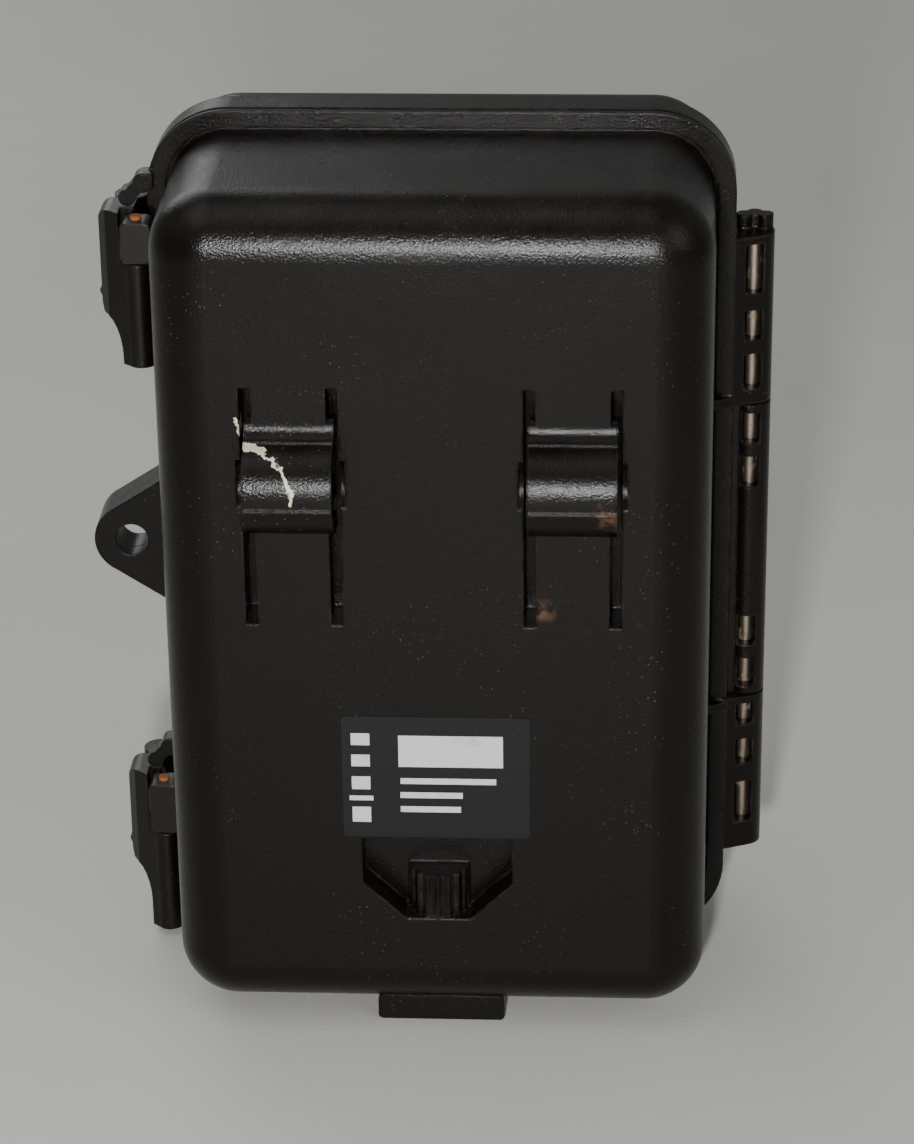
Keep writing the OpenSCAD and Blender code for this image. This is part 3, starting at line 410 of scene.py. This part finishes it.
def facet_relief(work, colour, normal):
    """Grid of lens facets over the bulged motion lens, each ringed by fine grooves; the seams between
    facets are darkened as painted shade.
    """
    tree = work.tree
    low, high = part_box("motion_lens")
    facet_width, facet_height = 5.6 * MM, 7.4 * MM
    x, _, z = axes(work)
    cells = []
    for value, centre, pitch in ((x, (low[0] + high[0]) / 2, facet_width),
                                 (z, (low[2] + high[2]) / 2, facet_height)):
        cell = math_node(tree, "DIVIDE", math_node(tree, "SUBTRACT", value, centre), pitch)
        part = math_node(tree, "FRACT", math_node(tree, "ADD", cell, 0.5))
        cells.append(math_node(tree, "SUBTRACT", part, 0.5))
    border = math_node(tree, "MAXIMUM", math_node(tree, "ABSOLUTE", cells[0]),
                       math_node(tree, "ABSOLUTE", cells[1]))
    seam = remap(tree, border, 0.5, 0.45)
    rings = math_node(tree, "PINGPONG", math_node(tree, "MULTIPLY", distance_of(tree, *cells), 9.0), 1.0)
    height = math_node(tree, "ADD", seam, math_node(tree, "MULTIPLY", rings, 0.3))
    # painted shade: the facet seams are darkened where shade falls in their grooves
    shade = work.mix(seam, [c * 0.62 for c in MILKY], colour)
    return shade, work.bump(height, 0.25 * MM, normal)


def clear_plastic(name, colour, roughness, ior=1.49, dust=0.25):
    """Clear or tinted plastic that dust makes a little darker and duller."""
    work = Finish(name, roughness, ior=ior)
    work.shader.inputs["Transmission Weight"].default_value = 0.95
    dirt = work.group(DUST, Speck_share=dust, Film=dust)
    tint = work.mix(dirt.outputs["Mask"], colour, [c * 0.85 for c in colour])
    rough = remap(work.tree, dirt.outputs["Mask"], 0.0, 1.0, roughness, roughness + 0.25)
    return work.finish(tint, rough)


def line_mask(tree, across, along, points, half_width):
    """Mask of a line through points, given as pairs of metres on two axes."""
    mask = None
    for (x0, z0), (x1, z1) in zip(points, points[1:]):
        length = math.hypot(x1 - x0, z1 - z0)
        ux, uz = (x1 - x0) / length, (z1 - z0) / length
        dx = math_node(tree, "SUBTRACT", across, x0)
        dz = math_node(tree, "SUBTRACT", along, z0)
        run = math_node(tree, "ADD", math_node(tree, "MULTIPLY", dx, ux),
                        math_node(tree, "MULTIPLY", dz, uz))
        past = math_node(tree, "SUBTRACT", run, math_node(
            tree, "MINIMUM", math_node(tree, "MAXIMUM", run, 0.0), length))
        side = math_node(tree, "SUBTRACT", math_node(tree, "MULTIPLY", dz, ux),
                         math_node(tree, "MULTIPLY", dx, uz))
        part = remap(tree, distance_of(tree, past, side), half_width, half_width * 0.6)
        mask = part if mask is None else math_node(tree, "MAXIMUM", mask, part)
    return mask


CRACK = [(28.2, 103.4), (27.3, 100.2), (24.3, 99.8), (21.2, 97.9), (19.7, 94.4), (20.1, 92.8)]
CRACK_COLOUR = (0.62, 0.55, 0.42)
STAINS = [(-26.0, 91.6, 3.0), (-16.1, 73.1, 2.4)]
STAIN_COLOUR = (0.11, 0.055, 0.028)


def rear_marks(work, below):
    """Stress crack over one strap loop, and two rust stains by the other loop and its slots.

    CRACK holds x and z, and STAINS x, z and radius, all in millimetres.
    """
    tree = work.tree
    where = object_coordinates(tree)
    x, y, z = axes(work)
    behind = math_node(tree, "GREATER_THAN", y, 15 * MM)
    wobble = math_node(tree, "MULTIPLY", math_node(tree, "SUBTRACT", noise(tree, where, 900.0, 3.0), 0.5),
                       1.6 * MM)
    across = math_node(tree, "ADD", x, wobble)
    along = math_node(tree, "SUBTRACT", z, wobble)
    crack = line_mask(tree, across, along, [(px * MM, pz * MM) for px, pz in CRACK], 0.30 * MM)
    crack = math_node(tree, "MULTIPLY", crack, behind)
    colour = work.mix(crack, below, CRACK_COLOUR)
    for stain_x, stain_z, reach in STAINS:
        dx = math_node(tree, "SUBTRACT", x, stain_x * MM)
        dz = math_node(tree, "SUBTRACT", z, stain_z * MM)
        spot = remap(tree, distance_of(tree, dx, dz), reach * MM, reach * 0.2 * MM)
        spot = math_node(tree, "MULTIPLY", spot, remap(tree, noise(tree, where, 700.0, 4.0), 0.4, 0.62))
        spot = math_node(tree, "MULTIPLY", spot, behind)
        colour = work.mix(math_node(tree, "MULTIPLY", spot, 0.7), colour, STAIN_COLOUR)
    return colour


CASE = dict(colour=(0.0029, 0.0017, 0.0009), pale=(0.060, 0.050, 0.041), roughness=0.25, grain=2800.0,
            depth=0.00008, wear=0.45, radius=0.0006, specks=0.2, film=0.03, specular=0.20)
REAR = moulded_plastic("case_plastic_rear", marks=rear_marks, **CASE)
FRONT = moulded_plastic("case_plastic_front", **CASE)
LATCH = moulded_plastic("latch_plastic", (0.0036, 0.0025, 0.0017), (0.045, 0.036, 0.028), 0.30,
                        grain=2600.0, depth=0.00004, wear=0.5, specks=0.3, film=0.05, specular=0.25)
LINK = moulded_plastic("link_plastic", (0.0050, 0.0036, 0.0026), (0.07, 0.06, 0.05), 0.31, specular=0.3,
                       grain=2600.0, depth=0.00002, wear=0.8)
TRAY = moulded_plastic("tray_plastic", (0.012, 0.012, 0.012), (0.05, 0.05, 0.05), 0.45, depth=0.00003)
PANEL = moulded_plastic("panel_plastic", (0.020, 0.020, 0.021), (0.08, 0.08, 0.08), 0.42, depth=0.00003,
                        wear=0.3)
BLACK = moulded_plastic("lens_holder_black", (0.010, 0.010, 0.010), (0.05, 0.05, 0.05), 0.5, wear=0.3)
GLOSS = moulded_plastic("bezel_polished", (0.008, 0.008, 0.008), (0.05, 0.05, 0.05), 0.16,
                        depth=0.000004, wear=0.5, specks=0.4)
FILM = moulded_plastic("motion_lens_milky", MILKY, (0.75, 0.75, 0.72), 0.35,
                       depth=0.00001, wear=0.1, dust=(0.35, 0.31, 0.26), relief=facet_relief)
RUBBER = moulded_plastic("seal_rubber", (0.025, 0.025, 0.024), (0.06, 0.06, 0.06), 0.75, depth=0.00004)
KEY = moulded_plastic("key_silicone", (0.10, 0.10, 0.10), (0.2, 0.2, 0.2), 0.6, depth=0.00002)
SWITCH = moulded_plastic("switch_plastic", (0.16, 0.16, 0.16), (0.3, 0.3, 0.3), 0.45, depth=0.00002)
CARD = moulded_plastic("card_plastic", (0.012, 0.022, 0.09), (0.1, 0.12, 0.2), 0.4, depth=0.00002)
BOARD = moulded_plastic("circuit_board", (0.010, 0.075, 0.028), (0.30, 0.28, 0.10), 0.3, depth=0.00002,
                        tone=160.0)
CELL = moulded_plastic("cell_wrap", (0.06, 0.065, 0.02), (0.2, 0.2, 0.1), 0.25, depth=0.00001)
PIN = rusty_metal("pin_tarnished", (0.34, 0.28, 0.22), 0.42, rust=0.35, rust_colour=(0.16, 0.075, 0.03))
LINK_PIN = rusty_metal("link_pin_rust", (0.40, 0.28, 0.18), 0.45, rust=1.1, rust_colour=(0.28, 0.10, 0.03))
STEEL = clean_metal("bright_steel", (0.62, 0.62, 0.60), 0.28)
BRASS = clean_metal("insert_brass", BRASS_COLOUR, 0.30, relief=thread_relief)


def screw_steel(name, node):
    """Steel for a node of four screws, with a cross in each head."""
    low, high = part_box(node)
    head_r = 2.2 * MM
    rows = (low[2] + head_r, high[2] - head_r)
    return clean_metal(name, (0.55, 0.55, 0.54), 0.30, relief=cross_relief(high[0] - head_r, rows))


PANEL_SCREW = screw_steel("panel_screw_steel", "panel_screws")
TRAY_SCREW = screw_steel("tray_screw_steel", "tray_screws")
GLASS = clear_plastic("window_clear", (0.93, 0.95, 0.95), 0.03)
LAMP = clear_plastic("lamp_clear", (0.85, 0.90, 0.95), 0.05)
LENS = clear_plastic("lens_coated", (0.45, 0.55, 0.85), 0.02, ior=1.6, dust=0.05)
RED = clear_plastic("status_red", (0.75, 0.08, 0.06), 0.15)
SCREEN = clear_plastic("screen_clear", (0.55, 0.62, 0.52), 0.06)
DARK = clear_plastic("night_window", (0.16, 0.035, 0.03), 0.04, dust=0.12)


# Each bar: its middle from the label's middle and from its lower edge, half its width, half its height.
TITLE_BAR = [(-2.25, 14.65, 7.85, 2.65)]
TEXT_RULES = [(-1.85, 9.6, 7.2, 0.5), (0.7, 7.2, 4.7, 0.5), (0.85, 4.8, 4.55, 0.5)]
SIDE_SQUARES = [(11.3, 16.6, 1.4, 1.0), (11.3, 13.0, 1.4, 1.0), (11.3, 9.2, 1.4, 1.1),
                (11.3, 6.6, 1.8, 0.4), (11.3, 3.8, 1.4, 1.3)]


def label_film():
    """Dark label with pale rules and squares in place of print."""
    low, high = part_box("rating_label")
    mid_x, low_z = (low[0] + high[0]) / 2, low[2]
    work = Finish("label_film", 0.38, specular=0.3)
    x, _, z = axes(work)
    print_mask = None
    for bar_x, bar_z, half_width, half_height in TITLE_BAR + TEXT_RULES + SIDE_SQUARES:
        across = away_from(work.tree, x, mid_x + bar_x * MM)
        along = away_from(work.tree, z, low_z + bar_z * MM)
        inside = math_node(work.tree, "MULTIPLY",
                           math_node(work.tree, "LESS_THAN", across, half_width * MM),
                           math_node(work.tree, "LESS_THAN", along, half_height * MM))
        print_mask = inside if print_mask is None else math_node(work.tree, "MAXIMUM", print_mask, inside)
    texture = work.group(GRAIN, Grain_per_metre=1500.0, Tone_per_metre=180.0)
    dirt = work.group(DUST, Speck_share=0.25, Film=0.1)
    worn = remap(work.tree, texture.outputs["Tone"], 0.25, 0.45, 0.6, 1.0)
    ink = math_node(work.tree, "MULTIPLY", print_mask, worn)
    colour = work.mix(ink, (0.0022, 0.0026, 0.0026), (0.50, 0.51, 0.50))
    colour = work.mix(dirt.outputs["Mask"], colour, (0.2, 0.18, 0.15))
    return work.finish(colour, None, work.bump(texture.outputs["Height"], 0.00002))


LABEL = label_film()
KEY_MARK = moulded_plastic("key_print", (0.55, 0.55, 0.54), (0.7, 0.7, 0.7), 0.5, depth=0.00001)

FINISHES = {
    REAR: ["rear_shell"],
    FRONT: ["front_shell"],
    LATCH: ["latch_upper", "latch_lower"],
    LINK: ["latch_link_upper", "latch_link_lower"],
    TRAY: ["battery_tray"],
    PANEL: ["control_panel"],
    BLACK: ["lens_tube", "video_jack"],
    GLOSS: ["lens_bezel"],
    FILM: ["motion_lens"],
    RUBBER: ["case_seal"],
    KEY: ["key_ok", "key_up", "key_down", "key_left", "key_right", "key_menu"],
    SWITCH: ["power_switch"],
    CARD: ["memory_card"],
    BOARD: ["main_board", "lamp_board", "sensor_board"],
    CELL: ["cell_%d" % (i + 1) for i in range(8)],
    PIN: ["hinge_pin", "latch_pin_upper", "latch_pin_lower"],
    LINK_PIN: ["link_pin_upper", "link_pin_lower"],
    STEEL: ["contact_plates", "contact_springs", "motion_sensor", "screen", "switch_body",
            "card_socket", "data_port"],
    PANEL_SCREW: ["panel_screws"],
    TRAY_SCREW: ["tray_screws"],
    BRASS: ["tripod_insert"],
    GLASS: ["lens_window"],
    LAMP: ["lamps"],
    LENS: ["lens_glass"],
    RED: ["status_light"],
    SCREEN: ["screen_window"],
    DARK: ["glow_window"],
    LABEL: ["rating_label"],
}
for material, names in FINISHES.items():
    for name in names:
        nodes[name].data.materials.clear()
        nodes[name].data.materials.append(material)


# ---------------------------------------------------------------- modelled pieces

def begin_circle(name, **settings):
    """Adds a circle and names it."""
    bpy.ops.object.select_all(action="DESELECT")
    bpy.ops.mesh.primitive_circle_add(**settings)
    piece = bpy.context.object
    piece.name = name
    piece.data.name = name
    return piece


def close_mesh():
    """Merges doubles, turns the faces outward and puts the object's origin at the frame's."""
    bpy.ops.object.mode_set(mode="EDIT")
    bpy.ops.mesh.select_all(action="SELECT")
    bpy.ops.mesh.remove_doubles(threshold=1e-6)
    bpy.ops.mesh.normals_make_consistent(inside=False)
    bpy.ops.object.mode_set(mode="OBJECT")
    bpy.ops.object.transform_apply(location=True, rotation=True, scale=True)


def key_mark(name, body, sides, turn):
    """Raised mark on a key, whose node and body have one name: a flat frame of three or more sides."""
    low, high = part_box(body)
    x, z = (low[0] + high[0]) / 2, (low[2] + high[2]) / 2
    sunk, rim_width, thickness = 0.05 * MM, 0.45 * MM, 0.16 * MM
    piece = begin_circle(name, vertices=sides, radius=1.5 * MM, fill_type="NGON",
                         location=(x, high[1] - sunk, z), rotation=(math.radians(90), turn, 0))
    bpy.ops.object.mode_set(mode="EDIT")
    bpy.ops.mesh.select_all(action="SELECT")
    bpy.ops.mesh.inset(thickness=rim_width, depth=0)
    bpy.ops.mesh.delete(type="FACE")
    bpy.ops.mesh.select_all(action="SELECT")
    bpy.ops.mesh.extrude_region_move(TRANSFORM_OT_translate={"value": (0, thickness, 0)})
    close_mesh()
    piece.data.materials.append(KEY_MARK)
    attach(piece, body)


key_mark("mark_ok", "key_ok", sides=24, turn=0)
key_mark("mark_up", "key_up", sides=3, turn=0)
key_mark("mark_down", "key_down", sides=3, turn=math.pi)
key_mark("mark_left", "key_left", sides=3, turn=math.pi / 2)
key_mark("mark_right", "key_right", sides=3, turn=-math.pi / 2)
key_mark("mark_menu", "key_menu", sides=4, turn=math.pi / 4)


def spring_coil(name, x, y, foot, rise):
    """Coil of round wire that climbs from its foot, or hangs from it when its rise is below zero."""
    wire_r, coil_r, turns = 0.4 * MM, 4.0 * MM, 5
    step = math.copysign(wire_r, rise)
    piece = begin_circle(name, vertices=8, radius=wire_r,
                         location=(x + coil_r - wire_r, y, foot + step), rotation=(math.radians(90), 0, 0))
    bpy.ops.object.transform_apply(location=True, rotation=True, scale=True)
    bpy.context.scene.cursor.location = (x, y, 0)
    bpy.ops.object.origin_set(type="ORIGIN_CURSOR")
    coil = piece.modifiers.new("coil", "SCREW")
    coil.axis = "Z"
    coil.angle = math.tau
    coil.iterations = turns
    coil.screw_offset = (rise - 2 * step) / turns
    coil.steps = coil.render_steps = 18
    bpy.ops.object.modifier_apply(modifier="coil")
    bpy.ops.object.mode_set(mode="EDIT")
    bpy.ops.mesh.select_all(action="SELECT")
    bpy.ops.mesh.fill_holes(sides=0)
    bpy.ops.object.mode_set(mode="OBJECT")
    return piece


def all_springs():
    """The eight contact springs: cells stand head up and head down in turn."""
    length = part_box("cell_1")[0][2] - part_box("contact_springs")[0][2]
    coils = []
    for i in range(8):
        low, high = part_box("cell_%d" % (i + 1))
        x, y = (low[0] + high[0]) / 2, (low[1] + high[1]) / 2
        foot, rise = (low[2] - length, length) if i % 2 == 0 else (high[2] + length, -length)
        coils.append(spring_coil("coil_%d" % i, x, y, foot, rise))
    bpy.ops.object.select_all(action="DESELECT")
    for coil in coils:
        coil.select_set(True)
    bpy.context.view_layer.objects.active = coils[0]
    bpy.ops.object.join()
    springs = bpy.context.object
    springs.name = "spring_coils"
    springs.data.name = "spring_coils"
    close_mesh()
    bpy.ops.object.shade_smooth_by_angle(angle=math.radians(60))
    springs.data.materials.append(STEEL)
    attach(springs, "rear_case")
    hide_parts("contact_springs")


all_springs()
bpy.context.scene.cursor.location = (0, 0, 0)


# ---------------------------------------------------------------- studio

def pale_floor():
    """Smooth warm-grey floor with slow changes of tone."""
    work = Finish("pale_floor", 0.55)
    texture = work.group(GRAIN, Grain_per_metre=900.0, Tone_per_metre=6.0)
    shade = remap(work.tree, texture.outputs["Tone"], 0.3, 0.7)
    colour = work.mix(shade, (0.50, 0.49, 0.465), (0.54, 0.53, 0.50))
    return work.finish(colour, None, work.bump(texture.outputs["Height"], 0.00005))


bpy.ops.object.select_all(action="DESELECT")
FLOOR_SIZE = 6
bpy.ops.mesh.primitive_plane_add(size=FLOOR_SIZE, location=(0, 0, CAD_BOX[0][2]))
floor = bpy.context.object
floor.name = "studio_floor"
floor.data.materials.append(pale_floor())


def soft_box(name, place, width, height, power):
    """Rectangular light aimed at the object; sizes in metres, power in watts."""
    data = bpy.data.lights.new(name, "AREA")
    data.shape = "RECTANGLE"
    data.size = width
    data.size_y = height
    data.energy = power
    lamp = bpy.data.objects.new(name, data)
    bpy.context.scene.collection.objects.link(lamp)
    lamp.location = place
    lamp.rotation_euler = (AIM - Vector(place)).to_track_quat("-Z", "Y").to_euler()


eye = AIM + away * EYE_DISTANCE
flash_place = eye + cam_right * -0.04 + cam_up * -0.09
soft_box("flash", flash_place, width=0.03, height=0.03, power=4.2)
soft_box("ceiling", (0.5, 0.3, 1.6), width=1.2, height=1.2, power=6)
soft_box("window", (-1.2, 0.9, 0.9), width=0.9, height=0.9, power=5)
soft_box("front_fill", (0.7, -1.3, 0.9), width=1.0, height=1.0, power=7)

world = bpy.data.worlds.new("studio_world")
bpy.context.scene.world = world
world.use_nodes = True
sky = world.node_tree.nodes["Background"]
sky.inputs["Color"].default_value = (0.80, 0.82, 0.80, 1)
sky.inputs["Strength"].default_value = 0.27
